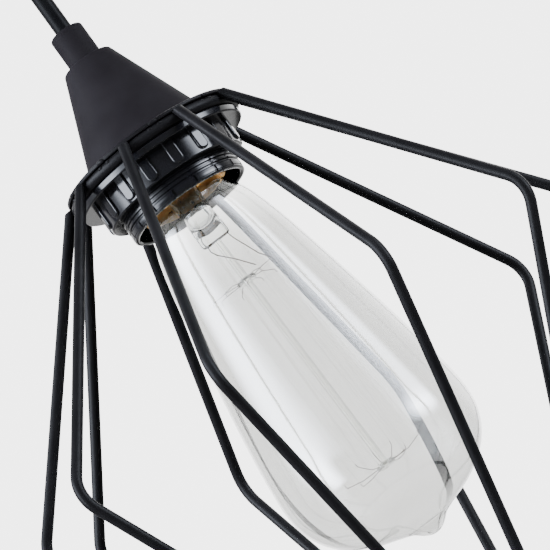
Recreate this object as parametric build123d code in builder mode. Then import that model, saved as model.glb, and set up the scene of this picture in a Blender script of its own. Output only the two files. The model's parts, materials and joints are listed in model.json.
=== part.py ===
from build123d import *
from math import atan2, cos, degrees, hypot, pi, radians, sin, sqrt, tan
import os

os.makedirs("parts", exist_ok=True)

# ---------------------------------------------------------------- driving dimensions, mm
# The frame: +Z is up, the origin is on the ceiling plane at the middle of the
# fixing bracket, and the lamp hangs down the Z axis.
CORD_D = 5.4                # two-core round flex
CUP_R, CUP_H, CUP_WALL = 50.0, 30.0, 0.8
GRIP_DROP = 16.0            # the canopy grip below the canopy
PIVOT_Z = -(CUP_H + GRIP_DROP)          # where the flex leaves the grip and swings
PLATE_Z = -116.0            # top face of the cage's collar plate

CONE_H, CONE_TOP_R, CONE_BASE_R, CONE_WALL = 32.9, 8.1, 20.9, 1.07
LAMP_GRIP_R, LAMP_GRIP_H = 5.4, 11.5
PLATE_R, PLATE_HOLE_R, PLATE_T = 29.7, 20.0, 1.2
WIRE_D = 3.4
WIRE_BEND_R = 9.5
RING_R = 27.9               # upper ring tube, middle of the tube
LEG_TOP_R = 28.64           # wire axis at the plate's top face
WAIST_R, WAIST_DROP = 95.3, 83.63       # sharp corner of the wire's two legs
LOW_ANGLE = 29.9            # lower leg off the vertical
LOW_RING_DROP = 174.5

SKIRT_R = 19.65             # crest of the lampholder's outer thread
SKIRT_ROOT_R = 19.10
SKIRT_BORE_R = 18.0
THREAD_PITCH = 1.33
SHADE_BORE_R = 19.75
SHADE_FLANGE_R, SHADE_BODY_R, SHADE_LUG_R = 28.3, 23.2, 23.95
LUGS = 16

BULB_TILT = 1.28            # the glass is cemented a little off true in its cap
BULB_PIVOT = 18.0
GLASS_WALL = 0.8

# Vertex and weld azimuths of the ten hand-welded wires, degrees from -Y towards -X.
WIRE_AT = [13.0, 50.4, 85.7, 117.2, 156.1, 192.3, 228.6, 262.9, 300.8, 337.4]
WELD_OFF = [-2.5, -1.5, 2.8, -1.7, -3.0, 0.0, -2.5, -0.1, -3.7, -4.7]


def below(drop):
    """Height of a point that lies drop mm under the collar plate's top face."""
    return PLATE_Z - drop


def polar(r, azimuth, drop):
    a = radians(azimuth)
    return (-r * sin(a), -r * cos(a), below(drop))


def rz(points):
    """(radius, drop) pairs to sketch points on the XZ plane."""
    return [(r, below(d)) for r, d in points]


# ================================================================= ceiling side
TAB_X = 47.0
with BuildPart() as ceiling_bracket:
    with BuildSketch(Plane.XY):
        Rectangle(2 * TAB_X, 20)
        with Locations((-30, 0), (30, 0)):
            SlotOverall(14, 4.5, mode=Mode.SUBTRACT)
        with Locations((0, 0)):
            Circle(1.35, mode=Mode.SUBTRACT)
    extrude(amount=-1.5)
    with BuildSketch(Plane.XY.offset(-1.5)):
        with Locations((TAB_X - 0.75, 0), (-TAB_X + 0.75, 0)):
            Rectangle(1.5, 20)
    extrude(amount=-11.5)
    with BuildSketch(Plane.YZ):
        with Locations((0, -8)):
            Circle(2.0)
    extrude(amount=60, both=True, mode=Mode.SUBTRACT)
    outer = [e for e in ceiling_bracket.edges().filter_by(Axis.Y)
             if abs(abs(e.center().X) - TAB_X) < 0.01 and abs(e.center().Z) < 0.01]
    fillet(outer, 1.4)
    corners = [e for e in ceiling_bracket.edges().filter_by(Axis.X)
               if abs(e.center().Z + 13.0) < 0.01]
    fillet(corners, 0.6)
ceiling_bracket.part.label = "ceiling_bracket"
export_step(ceiling_bracket.part, "parts/ceiling_bracket.step")

with BuildPart() as canopy_cup:
    with BuildSketch(Plane.XY.offset(-CUP_H)):
        Circle(CUP_R)
    extrude(amount=CUP_H)
    fillet(canopy_cup.edges().group_by(Axis.Z)[0], 6)
    offset(amount=-CUP_WALL, openings=canopy_cup.faces().sort_by(Axis.Z)[-1])
    with BuildSketch(Plane.XY.offset(-CUP_H - 1)):
        Circle(5.1)
    extrude(amount=3, mode=Mode.SUBTRACT)
    with BuildSketch(Plane.YZ):
        with Locations((0, -8)):
            Circle(2.2)
    extrude(amount=60, both=True, mode=Mode.SUBTRACT)
canopy_cup.part.label = "canopy_cup"
export_step(canopy_cup.part, "parts/canopy_cup.step")

with BuildPart() as canopy_screws:
    with BuildSketch(Plane.YZ.offset(43.5)):
        with Locations((0, -8)):
            Circle(1.95)
    extrude(amount=7)
    with BuildSketch(Plane.YZ.offset(50.2)):
        with Locations((0, -8)):
            RegularPolygon(4.6, 20)
    extrude(amount=5)
    fillet(canopy_screws.faces().sort_by(Axis.X)[-1].edges(), 0.5)
    mirror(about=Plane.YZ)
canopy_screws.part.label = "canopy_screws"
export_step(canopy_screws.part, "parts/canopy_screws.step")

with BuildPart() as canopy_cord_grip:
    with BuildSketch(Plane.XY.offset(PIVOT_Z)):
        Circle(6.0)
    extrude(amount=GRIP_DROP)
    fillet(canopy_cord_grip.edges().group_by(Axis.Z)[0], 0.9)
    with BuildSketch(Plane.XY.offset(-CUP_H)):
        Circle(4.95)
    extrude(amount=8)
    chamfer(canopy_cord_grip.edges().group_by(Axis.Z)[-1], 0.5)
    with BuildSketch(Plane.XY.offset(PIVOT_Z - 1)):
        Circle(2.9)
    extrude(amount=40, mode=Mode.SUBTRACT)
    with BuildSketch(Plane.XZ):
        with Locations((0, -38)):
            Circle(1.5)
    extrude(amount=-10, mode=Mode.SUBTRACT)
canopy_cord_grip.part.label = "canopy_cord_grip"
export_step(canopy_cord_grip.part, "parts/canopy_cord_grip.step")

with BuildPart() as canopy_grip_nut:
    with BuildSketch(Plane.XY.offset(-CUP_H + CUP_WALL)):
        RegularPolygon(7.0, 6, major_radius=False)
        Circle(5.0, mode=Mode.SUBTRACT)
    extrude(amount=4)
    chamfer(canopy_grip_nut.edges().filter_by(GeomType.LINE).group_by(Axis.Z)[-1], 0.4)
canopy_grip_nut.part.label = "canopy_grip_nut"
export_step(canopy_grip_nut.part, "parts/canopy_grip_nut.step")

with BuildPart() as canopy_grip_screw:
    with BuildSketch(Plane.XZ.offset(-2.75)):
        with Locations((0, -38)):
            Circle(1.45)
    extrude(amount=-3.1)
    with BuildSketch(Plane.XZ.offset(-5.85)):
        with Locations((0, -38)):
            RegularPolygon(0.8, 6)
    extrude(amount=1.4, mode=Mode.SUBTRACT)
canopy_grip_screw.part.label = "canopy_grip_screw"
export_step(canopy_grip_screw.part, "parts/canopy_grip_screw.step")

# Two-way terminal block under the bracket, with its brass barrels and screws.
WAYS = (-6.0, 6.0)
with BuildPart() as terminal_block:
    with BuildSketch(Plane.XY.offset(-11.5)):
        Rectangle(22, 17)
    extrude(amount=10)
    fillet(terminal_block.edges().filter_by(Axis.Z), 1.0)
    with BuildSketch(Plane.XZ.offset(-20)):
        with Locations(*[(x, -6.5) for x in WAYS]):
            Circle(2.05)
    extrude(amount=40, mode=Mode.SUBTRACT)
    with BuildSketch(Plane.XY.offset(-12)):
        with Locations(*[(x, y) for x in WAYS for y in (-4.5, 4.5)]):
            Circle(1.4)
    extrude(amount=5, mode=Mode.SUBTRACT)
    with BuildSketch(Plane.XY.offset(-12)):
        Circle(1.35)
    extrude(amount=12, mode=Mode.SUBTRACT)
    with BuildSketch(Plane.XY.offset(-12)):
        Circle(2.6)
    extrude(amount=4.5, mode=Mode.SUBTRACT)
terminal_block.part.label = "terminal_block"
export_step(terminal_block.part, "parts/terminal_block.step")

with BuildPart() as terminal_barrels:
    with BuildSketch(Plane.XZ.offset(-6.6)):
        with Locations(*[(x, -6.5) for x in WAYS]):
            Circle(2.0)
            Circle(1.3, mode=Mode.SUBTRACT)
    extrude(amount=13.2)
    with BuildSketch(Plane.XY.offset(-9)):
        with Locations(*[(x, y) for x in WAYS for y in (-4.5, 4.5)]):
            Circle(1.05)
    extrude(amount=2.2, mode=Mode.SUBTRACT)
terminal_barrels.part.label = "terminal_barrels"
export_step(terminal_barrels.part, "parts/terminal_barrels.step")

with BuildPart() as terminal_screws:
    with BuildSketch(Plane.XY.offset(-10.9)):
        with Locations(*[(x, y) for x in WAYS for y in (-4.5, 4.5)]):
            Circle(1.3)
    extrude(amount=2.2)
    with BuildSketch(Plane.XY.offset(-8.8)):
        with Locations(*[(x, y) for x in WAYS for y in (-4.5, 4.5)]):
            Circle(1.0)
    extrude(amount=1.4)
    with BuildSketch(Plane.XY.offset(-10.9)):
        with Locations(*[(x, y) for x in WAYS for y in (-4.5, 4.5)]):
            Rectangle(3, 0.5)
    extrude(amount=0.7, mode=Mode.SUBTRACT)
terminal_screws.part.label = "terminal_screws"
export_step(terminal_screws.part, "parts/terminal_screws.step")

with BuildPart() as block_screw:
    with BuildSketch(Plane.XY.offset(-10.0)):
        Circle(2.4)
    extrude(amount=2.4)
    with BuildSketch(Plane.XY.offset(-7.7)):
        Circle(1.3)
    extrude(amount=7.4)
    with BuildSketch(Plane.XY.offset(-10.0)):
        Rectangle(5, 0.6)
    extrude(amount=0.9, mode=Mode.SUBTRACT)
block_screw.part.label = "block_screw"
export_step(block_screw.part, "parts/block_screw.step")

# The end of the flex inside the canopy, and its two cores up to the terminal block.
TAIL_TOP = -20.5
with BuildPart() as cord_tail:
    with BuildSketch(Plane.XY.offset(PIVOT_Z + CORD_D / 2 + 0.25)):
        Circle(CORD_D / 2)
    extrude(amount=TAIL_TOP - (PIVOT_Z + CORD_D / 2 + 0.25))
cord_tail.part.label = "cord_tail"
export_step(cord_tail.part, "parts/cord_tail.step")

CORE_R = 0.9


def core_route(side):
    return [(side * 1.2, 0, TAIL_TOP), (side * 1.2, 0, TAIL_TOP + 3.2),
            (side * 4.4, -9.0, TAIL_TOP + 4.8), (side * 6.0, -14.6, -11.0),
            (side * 6.0, -14.0, -6.5), (side * 6.0, -6.8, -6.5)]


with BuildPart() as canopy_live_core:
    with BuildLine() as live_path:
        FilletPolyline(*core_route(1), radius=[1.5, 2.5, 2.5, 2.0])
    with BuildSketch(Plane(origin=live_path.line @ 0, z_dir=live_path.line % 0)):
        Circle(CORE_R)
    sweep()
canopy_live_core.part.label = "canopy_live_core"
export_step(canopy_live_core.part, "parts/canopy_live_core.step")

with BuildPart() as canopy_neutral_core:
    with BuildLine() as neutral_path:
        FilletPolyline(*core_route(-1), radius=[1.5, 2.5, 2.5, 2.0])
    with BuildSketch(Plane(origin=neutral_path.line @ 0, z_dir=neutral_path.line % 0)):
        Circle(CORE_R)
    sweep()
canopy_neutral_core.part.label = "canopy_neutral_core"
export_step(canopy_neutral_core.part, "parts/canopy_neutral_core.step")

# ================================================================= the hanging flex
CORD_END_DROP = -25.0
CORD_END_Z = below(CORD_END_DROP)
with BuildPart() as cord:
    with BuildSketch(Plane.XZ):
        with BuildLine():
            l1 = Polyline((0, CORD_END_Z), (CORD_D / 2, CORD_END_Z), (CORD_D / 2, PIVOT_Z))
            RadiusArc(l1 @ 1, (0, PIVOT_Z + CORD_D / 2), -CORD_D / 2)
            Line((0, PIVOT_Z + CORD_D / 2), (0, CORD_END_Z))
        make_face()
    revolve(axis=Axis.Z)
cord.part.label = "cord"
export_step(cord.part, "parts/cord.step")
print("cord: straight, from", CORD_END_Z, "to", PIVOT_Z, "length", PIVOT_Z - CORD_END_Z,
      "visible", PIVOT_Z - below(-CONE_H - LAMP_GRIP_H),
      "volume / (section x length)", cord.part.volume / (pi * (CORD_D / 2) ** 2 * (PIVOT_Z - CORD_END_Z + CORD_D / 3)))

# ================================================================= cap and its grip
GRIP_TOP = -CONE_H - LAMP_GRIP_H
with BuildPart() as cord_grip:
    with BuildSketch(Plane.XY.offset(below(-CONE_H))):
        Circle(LAMP_GRIP_R)
    extrude(amount=LAMP_GRIP_H)
    fillet(cord_grip.edges().group_by(Axis.Z)[-1], 0.9)
    with BuildSketch(Plane.XY.offset(below(-CONE_H) - 1)):
        Circle(CORD_D / 2 + 0.06)
    extrude(amount=20, mode=Mode.SUBTRACT)
    with BuildSketch(Plane.XY.offset(below(-CONE_H) - 1)):
        Circle(4.5)
    extrude(amount=8.6, mode=Mode.SUBTRACT)
    with BuildSketch(Plane.XZ):
        with Locations((0, below(-42.6))):
            Circle(1.25)
    extrude(amount=-10, mode=Mode.SUBTRACT)
cord_grip.part.label = "cord_grip"
export_step(cord_grip.part, "parts/cord_grip.step")

with BuildPart() as grip_set_screw:
    with BuildSketch(Plane.XZ.offset(-CORD_D / 2 - 0.07)):
        with Locations((0, below(-42.6))):
            Circle(1.2)
    extrude(amount=-2.5)
    with BuildSketch(Plane.XZ.offset(-CORD_D / 2 - 2.57)):
        with Locations((0, below(-42.6))):
            Rectangle(3, 0.4)
    extrude(amount=0.7, mode=Mode.SUBTRACT)
grip_set_screw.part.label = "grip_set_screw"
export_step(grip_set_screw.part, "parts/grip_set_screw.step")

CONE_SLOPE = (CONE_BASE_R - CONE_TOP_R) / CONE_H


def cone_in(drop):
    return CONE_TOP_R + CONE_SLOPE * (drop + CONE_H) - CONE_WALL


with BuildPart() as cone_cap:
    with BuildSketch(Plane.XZ):
        with BuildLine():
            Polyline(*rz([(4.7, -CONE_H), (CONE_TOP_R, -CONE_H), (CONE_BASE_R, 0),
                          (cone_in(0), 0), (cone_in(-CONE_H + 1.1), -CONE_H + 1.1),
                          (4.7, -CONE_H + 1.1)]), close=True)
        make_face()
    revolve(axis=Axis.Z)
    rim = cone_cap.edges().filter_by(GeomType.CIRCLE).filter_by(
        lambda e: abs(e.radius - CONE_TOP_R) < 0.01)
    fillet(rim, 0.9)
cone_cap.part.label = "cone_cap"
export_step(cone_cap.part, "parts/cone_cap.step")

# ================================================================= nipple and lampholder
with BuildPart() as threaded_nipple:
    with BuildSketch(Plane.XY.offset(below(-22.0))):
        Circle(4.45)
        Circle(3.3, mode=Mode.SUBTRACT)
    extrude(amount=18.0)
    chamfer(threaded_nipple.edges().filter_by(GeomType.CIRCLE).filter_by(
        lambda e: abs(e.radius - 4.45) < 0.01), 0.4)
threaded_nipple.part.label = "threaded_nipple"
export_step(threaded_nipple.part, "parts/threaded_nipple.step")

with BuildPart() as nipple_nuts:
    with BuildSketch(Plane.XY.offset(below(-27.6))):
        RegularPolygon(6.0, 6, major_radius=False)
        Circle(4.5, mode=Mode.SUBTRACT)
    extrude(amount=3.9)
    with BuildSketch(Plane.XY.offset(below(-23.0))):
        RegularPolygon(6.0, 6, major_radius=False)
        Circle(4.5, mode=Mode.SUBTRACT)
    extrude(amount=2.5)
nipple_nuts.part.label = "nipple_nuts"
export_step(nipple_nuts.part, "parts/nipple_nuts.step")

with BuildPart() as holder_top:
    with BuildSketch(Plane.XZ):
        with BuildLine():
            Polyline(*rz([(4.5, -27.5), (7.6, -27.5), (10.4, -22), (12.2, -18), (14.5, -12),
                          (16.9, -6), (18.4, -2), (18.4, -0.6), (16.45, -0.6), (16.45, -4.2),
                          (14.5, -4.2), (14.5, -9.0), (13.0, -9.0), (13.0, -12.2),
                          (10.7, -18), (8.9, -22), (7.3, -25.5), (4.5, -25.5)]), close=True)
        make_face()
    revolve(axis=Axis.Z)
holder_top.part.label = "holder_top"
export_step(holder_top.part, "parts/holder_top.step")

# The skirt carries the outer thread that the shade ring runs on, then a plain band
# with narrow slots at its lower edge.
thread = []
ridge = 17.45 - 13 * THREAD_PITCH
while ridge < 17.6:
    thread += [(SKIRT_ROOT_R, ridge - 0.48), (SKIRT_R, ridge - 0.2),
               (SKIRT_R, ridge + 0.2), (SKIRT_ROOT_R, ridge + 0.48)]
    ridge += THREAD_PITCH
with BuildPart() as holder_body:
    with BuildSketch(Plane.XZ):
        with BuildLine():
            Polyline(*rz([(14.0, -4.1), (16.4, -4.1), (16.4, -0.55), (18.9, -0.55),
                          (SKIRT_ROOT_R, -0.35)] + thread +
                         [(SKIRT_ROOT_R, 18.3), (19.45, 18.4), (19.62, 18.7), (19.65, 19.4),
                          (19.6, 20.1), (19.42, 20.35), (19.42, 20.5), (19.58, 20.65),
                          (19.5, 20.9), (19.2, 21.08), (18.7, 21.15), (18.2, 21.05),
                          (SKIRT_BORE_R, 20.8), (SKIRT_BORE_R, 3.0), (14.0, 3.0)]), close=True)
        make_face()
    revolve(axis=Axis.Z)
    with BuildSketch(Plane.XY.offset(below(20.5))):
        with PolarLocations(19.6, 16, start_angle=-90 + 18.2):
            Rectangle(1.3, 0.65)
    extrude(amount=2.15, mode=Mode.SUBTRACT)
holder_body.part.label = "holder_body"
export_step(holder_body.part, "parts/holder_body.step")

with BuildPart() as contact_carrier:
    with BuildSketch(Plane.XZ):
        with BuildLine():
            Polyline(*rz([(1.3, -12.4), (12.8, -12.4), (12.8, -9.0), (14.4, -9.0), (14.4, -4.2),
                          (13.9, -4.2), (13.9, -6.6), (9.5, -6.6), (9.5, -10.2),
                          (1.3, -10.2)]), close=True)
        make_face()
    revolve(axis=Axis.Z)
    with BuildSketch(Plane.XY.offset(below(-12.4) + 1)):
        with Locations((-6.5, 0)):
            Circle(1.1)
    extrude(amount=-5, mode=Mode.SUBTRACT)
contact_carrier.part.label = "contact_carrier"
export_step(contact_carrier.part, "parts/contact_carrier.step")

# Brass screw shell: a shallow round thread, flared at its mouth.
SHELL_PITCH = 3.629
wave_out, wave_in = [], []
d = -6.0
while d < 15.8:
    for k, r in ((0.0, 13.62), (0.25, 13.45), (0.5, 13.28), (0.75, 13.45)):
        if d + k * SHELL_PITCH < 15.8:
            wave_out.append((r + 0.16, d + k * SHELL_PITCH))
            wave_in.append((r - 0.16, d + k * SHELL_PITCH))
    d += SHELL_PITCH
with BuildPart() as screw_shell:
    with BuildSketch(Plane.XZ):
        with BuildLine():
            Polyline(*rz([(11.0, -6.5)] + [(13.7, -6.5)] + wave_out +
                         [(13.7, 16.4), (13.8, 17.2), (14.5, 18.1), (14.3, 18.35),
                          (13.45, 17.5), (13.35, 16.5)] + wave_in[::-1] +
                         [(13.3, -6.2), (11.0, -6.2)]), close=True)
        make_face()
    revolve(axis=Axis.Z)
screw_shell.part.label = "screw_shell"
export_step(screw_shell.part, "parts/screw_shell.step")

with BuildPart() as centre_contact:
    with BuildSketch(Plane.XZ.offset(2.5)):
        with BuildLine():
            Polyline(*rz([(-8.2, -10.18), (-2.5, -10.18), (3.2, -7.55), (5.8, -8.55),
                          (5.8, -8.1), (3.2, -7.1), (-2.7, -9.7), (-8.2, -9.7)]), close=True)
        make_face()
    extrude(amount=-5)
    with BuildSketch(Plane.XY.offset(below(-9.4))):
        with Locations((-6.5, 0)):
            Circle(1.6)
    extrude(amount=0.4)
    with BuildSketch(Plane.XY.offset(below(-9.8))):
        with Locations((-6.5, 0)):
            Circle(1.05)
    extrude(amount=2.65)
centre_contact.part.label = "centre_contact"
export_step(centre_contact.part, "parts/centre_contact.step")

with BuildPart() as holder_terminals:
    with BuildSketch(Plane.XY.offset(below(-12.45))):
        with Locations((6.5, 0), (-6.5, 0)):
            Rectangle(5, 4.4)
    extrude(amount=4)
    chamfer(holder_terminals.edges().group_by(Axis.Z)[-1], 0.3)
    with BuildSketch(Plane.XY.offset(below(-15.0))):
        with Locations((7.2, 0), (-7.2, 0)):
            Circle(1.05)
    extrude(amount=5, mode=Mode.SUBTRACT)
    with BuildSketch(Plane.YZ):
        with Locations((0, below(-14.2))):
            Circle(1.0)
    extrude(amount=7.6, both=True, mode=Mode.SUBTRACT)
holder_terminals.part.label = "holder_terminals"
export_step(holder_terminals.part, "parts/holder_terminals.step")

with BuildPart() as holder_terminal_screws:
    with BuildSketch(Plane.XY.offset(below(-15.3))):
        with Locations((7.2, 0), (-7.2, 0)):
            Circle(1.0)
    extrude(amount=1.3)
    with BuildSketch(Plane.XY.offset(below(-16.5))):
        with Locations((7.2, 0), (-7.2, 0)):
            Circle(1.8)
    extrude(amount=1.2)
    with BuildSketch(Plane.XY.offset(below(-17.7))):
        with Locations((7.2, 0), (-7.2, 0)):
            Rectangle(4, 0.5)
    extrude(amount=-0.6, mode=Mode.SUBTRACT)
holder_terminal_screws.part.label = "holder_terminal_screws"
export_step(holder_terminal_screws.part, "parts/holder_terminal_screws.step")


def holder_core_route(side):
    return [(side * 1.2, 0, CORD_END_Z), (side * 1.2, 0, below(-14.2)),
            (side * 5.0, 0, below(-14.2))]


with BuildPart() as holder_live_core:
    with BuildLine() as holder_live_path:
        FilletPolyline(*holder_core_route(1), radius=1.6)
    with BuildSketch(Plane(origin=holder_live_path.line @ 0, z_dir=holder_live_path.line % 0)):
        Circle(CORE_R)
    sweep()
holder_live_core.part.label = "holder_live_core"
export_step(holder_live_core.part, "parts/holder_live_core.step")

with BuildPart() as holder_neutral_core:
    with BuildLine() as holder_neutral_path:
        FilletPolyline(*holder_core_route(-1), radius=1.6)
    with BuildSketch(Plane(origin=holder_neutral_path.line @ 0, z_dir=holder_neutral_path.line % 0)):
        Circle(CORE_R)
    sweep()
holder_neutral_core.part.label = "holder_neutral_core"
export_step(holder_neutral_core.part, "parts/holder_neutral_core.step")

# ================================================================= shade ring
with BuildPart() as lug:
    with BuildSketch(Plane.XZ.offset(SHADE_BODY_R - 1.0)):
        with BuildLine():
            half, top, foot, rr = 1.85, below(6.9), below(13.85), 1.6
            Polyline((-half, foot + rr), (-half, top), (half, top), (half, foot + rr))
            RadiusArc((half, foot + rr), (half - rr, foot), rr)
            Line((half - rr, foot), (-half + rr, foot))
            RadiusArc((-half + rr, foot), (-half, foot + rr), rr)
        make_face()
    extrude(amount=SHADE_LUG_R - SHADE_BODY_R + 1.0)
    face = lug.faces().sort_by(Axis.Y)[0]
    fillet([e for e in face.edges() if e.center().Z < below(6.95)], 0.6)

with BuildPart() as shade_ring:
    with BuildSketch(Plane.XZ):
        with BuildLine():
            Polyline(*rz([(SHADE_BORE_R, 4.72), (SHADE_FLANGE_R, 4.72), (SHADE_FLANGE_R, 7.0),
                          (SHADE_BODY_R, 7.0), (SHADE_BODY_R, 14.6), (SHADE_BORE_R + 0.3, 14.6),
                          (SHADE_BORE_R, 14.3)]), close=True)
        make_face()
    revolve(axis=Axis.Z)
    fillet(shade_ring.edges().filter_by(GeomType.CIRCLE).filter_by(
        lambda e: abs(e.radius - SHADE_FLANGE_R) < 0.01), 0.5)
    fillet(shade_ring.edges().filter_by(GeomType.CIRCLE).filter_by(
        lambda e: abs(e.radius - SHADE_BODY_R) < 0.01 and e.center().Z < below(14.0)), 0.5)
    with PolarLocations(0, LUGS, start_angle=13.2):
        add(lug.part)
shade_ring.part.label = "shade_ring"
export_step(shade_ring.part, "parts/shade_ring.step")

# ================================================================= cage
with BuildPart() as collar_plate:
    with BuildSketch(Plane.XY.offset(below(PLATE_T))):
        Circle(PLATE_R)
        Circle(PLATE_HOLE_R, mode=Mode.SUBTRACT)
    extrude(amount=PLATE_T)
    fillet(collar_plate.edges().filter_by(GeomType.CIRCLE).filter_by(
        lambda e: abs(e.radius - PLATE_R) < 0.01), 0.35)
collar_plate.part.label = "collar_plate"
export_step(collar_plate.part, "parts/collar_plate.step")

WIRE_R = WIRE_D / 2
RING_DROP = PLATE_T + WIRE_R + 0.01
with BuildPart() as cage_ring:
    with BuildSketch(Plane.XZ):
        with Locations((RING_R, below(RING_DROP))):
            Circle(WIRE_R)
    revolve(axis=Axis.Z)
cage_ring.part.label = "cage_ring"
export_step(cage_ring.part, "parts/cage_ring.step")

leg_r = WAIST_R - tan(radians(LOW_ANGLE)) * (LOW_RING_DROP - WAIST_DROP)
LOW_RING_R = leg_r - 2.4 / cos(radians(LOW_ANGLE))
LOW_END = LOW_RING_DROP + WIRE_R
with BuildPart() as bottom_ring:
    with BuildSketch(Plane.XZ):
        with Locations((LOW_RING_R, below(LOW_RING_DROP))):
            Circle(WIRE_R)
    revolve(axis=Axis.Z)
bottom_ring.part.label = "bottom_ring"
export_step(bottom_ring.part, "parts/bottom_ring.step")
print("lower ring radius", LOW_RING_R)

for i, (vertex, off) in enumerate(zip(WIRE_AT, WELD_OFF)):
    start = polar(LEG_TOP_R, vertex + off, 0)
    corner = polar(WAIST_R, vertex, WAIST_DROP)
    low_r = WAIST_R - tan(radians(LOW_ANGLE)) * (LOW_END + 3 - WAIST_DROP)
    finish = polar(low_r, vertex, LOW_END + 3)
    with BuildPart() as cage_wire:
        with BuildLine() as wire_path:
            FilletPolyline(start, corner, finish, radius=WIRE_BEND_R)
        with BuildSketch(Plane(origin=wire_path.line @ 0, z_dir=wire_path.line % 0)):
            Circle(WIRE_R)
        sweep()
        with BuildSketch(Plane.XY.offset(below(PLATE_T + 0.02))):
            Circle(60)
        extrude(amount=10, mode=Mode.SUBTRACT)
        with BuildSketch(Plane.XY.offset(below(LOW_END))):
            Circle(80)
        extrude(amount=-10, mode=Mode.SUBTRACT)
        with BuildSketch(Plane.XY.offset(below(RING_DROP))):
            Circle(RING_R + 0.8)
        extrude(amount=6, mode=Mode.SUBTRACT)
        with BuildSketch(Plane.XY.offset(below(LOW_RING_DROP))):
            Circle(LOW_RING_R + 0.8)
        extrude(amount=-6, mode=Mode.SUBTRACT)
        with Locations((0, 0, below(RING_DROP))):
            Torus(RING_R, WIRE_R + 0.01, mode=Mode.SUBTRACT)
        with Locations((0, 0, below(LOW_RING_DROP))):
            Torus(LOW_RING_R, WIRE_R + 0.01, mode=Mode.SUBTRACT)
    name = "cage_wire_%02d" % (i + 1)
    cage_wire.part.label = name
    export_step(cage_wire.part, "parts/" + name + ".step")

# ================================================================= bulb
# The cap is true to the socket.  The glass and what is inside it lean by BULB_TILT.
with BuildPart() as bulb_cap:
    crest, root = 12.92, 12.3
    cap_out, cap_in = [], []
    d = -1.6
    while d < 14.5:
        for k, r in ((0.0, crest), (0.25, (crest + root) / 2), (0.5, root), (0.75, (crest + root) / 2)):
            if d + k * SHELL_PITCH < 14.5:
                cap_out.append((r, d + k * SHELL_PITCH))
                cap_in.append((r - 0.28, d + k * SHELL_PITCH))
        d += SHELL_PITCH
    with BuildSketch(Plane.XZ):
        with BuildLine():
            Polyline(*rz([(8.6, -4.2), (11.2, -3.4), (12.4, -2.6)] + cap_out +
                         [(12.95, 15.2), (12.95, 19.0), (12.67, 19.0), (12.67, 15.2)] +
                         cap_in[::-1] + [(12.1, -2.4), (11.1, -3.1), (8.6, -3.85)]), close=True)
        make_face()
    revolve(axis=Axis.Z)
bulb_cap.part.label = "bulb_cap"
export_step(bulb_cap.part, "parts/bulb_cap.step")

with BuildPart() as bulb_cap_insulator:
    with BuildSketch(Plane.XZ):
        with BuildLine():
            Polyline(*rz([(1.0, -6.3), (4.9, -6.3), (8.5, -4.25), (8.5, -3.6), (9.8, -3.2),
                          (9.8, -2.2), (1.0, -2.2)]), close=True)
        make_face()
    revolve(axis=Axis.Z)
bulb_cap_insulator.part.label = "bulb_cap_insulator"
export_step(bulb_cap_insulator.part, "parts/bulb_cap_insulator.step")

with BuildPart() as bulb_tip_contact:
    with BuildSketch(Plane.XZ):
        with BuildLine():
            Polyline(*rz([(0, -7.0), (3.0, -6.95), (4.6, -6.4), (4.6, -6.32), (0.95, -6.32),
                          (0.95, -3.0), (0, -3.0)]), close=True)
        make_face()
    revolve(axis=Axis.Z)
bulb_tip_contact.part.label = "bulb_tip_contact"
export_step(bulb_tip_contact.part, "parts/bulb_tip_contact.step")

ts = radians(BULB_TILT)
LEAN_O = Vector(0, 0, below(BULB_PIVOT))
lean = Plane(origin=LEAN_O, x_dir=(cos(ts), 0, sin(ts)), z_dir=(0, -1, 0))
LEAN_AXIS = Axis(LEAN_O, (-sin(ts), 0, cos(ts)))


def bp(r, drop):
    """Profile point of the leaning bulb on its own plane."""
    return (r, BULB_PIVOT - drop)


def lean_point(x, y, drop):
    """A point given in the leaning bulb's own axes."""
    h = BULB_PIVOT - drop
    return (x * cos(ts) - h * sin(ts), y, LEAN_O.Z + x * sin(ts) + h * cos(ts))


NECK_END = 8.0
GLASS = [(11.75, 12.0), (11.8, 15.5), (12.25, 18.4), (14.1, 22.0), (16.2, 26.0), (17.75, 30.0),
         (20.35, 40.0), (22.85, 52.0), (25.35, 65.0), (28.05, 80.0), (29.72, 90.0), (30.93, 98.0),
         (31.9, 106.0), (32.35, 113.0), (31.75, 119.0), (29.85, 124.0), (27.1, 128.0),
         (23.9, 131.0), (20.3, 133.4), (16.3, 135.35), (12.0, 136.9)]
TIP = [(12.0, 136.9), (8.8, 138.1), (6.3, 139.2), (4.5, 140.7), (2.9, 141.9), (1.4, 142.55), (0, 142.7)]


def inset(points, by):
    out = []
    for i, (r, d) in enumerate(points):
        a = points[max(i - 1, 0)]
        b = points[min(i + 1, len(points) - 1)]
        tr, td = b[0] - a[0], b[1] - a[1]
        n = hypot(tr, td)
        out.append((r - by * td / n, d + by * tr / n))
    return out


GLASS_IN = inset(GLASS, GLASS_WALL)
with BuildPart() as bulb_glass:
    with BuildSketch(lean):
        with BuildLine():
            Line(bp(11.75, NECK_END), bp(11.75, 12.0))
            s1 = Spline(*[bp(r, d) for r, d in GLASS])
            s2 = Spline(*[bp(r, d) for r, d in TIP], tangents=[s1 % 1, (-1, 0)])
            Line(bp(0, 142.7), bp(0, 138.9))
            s3 = Spline(*[bp(r, d) for r, d in [(0, 138.9), (3.0, 138.6), (6.5, 137.9)] +
                          [(GLASS_IN[-1][0], GLASS_IN[-1][1])]], tangents=[(1, 0), (s1 % 1) * -1])
            s4 = Spline(*[bp(r, d) for r, d in GLASS_IN[::-1]])
            Line(s4 @ 1, bp(11.75 - GLASS_WALL, NECK_END))
            Line(bp(11.75 - GLASS_WALL, NECK_END), bp(11.75, NECK_END))
        make_face()
    revolve(axis=LEAN_AXIS)
bulb_glass.part.label = "bulb_glass"
export_step(bulb_glass.part, "parts/bulb_glass.step")

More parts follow.
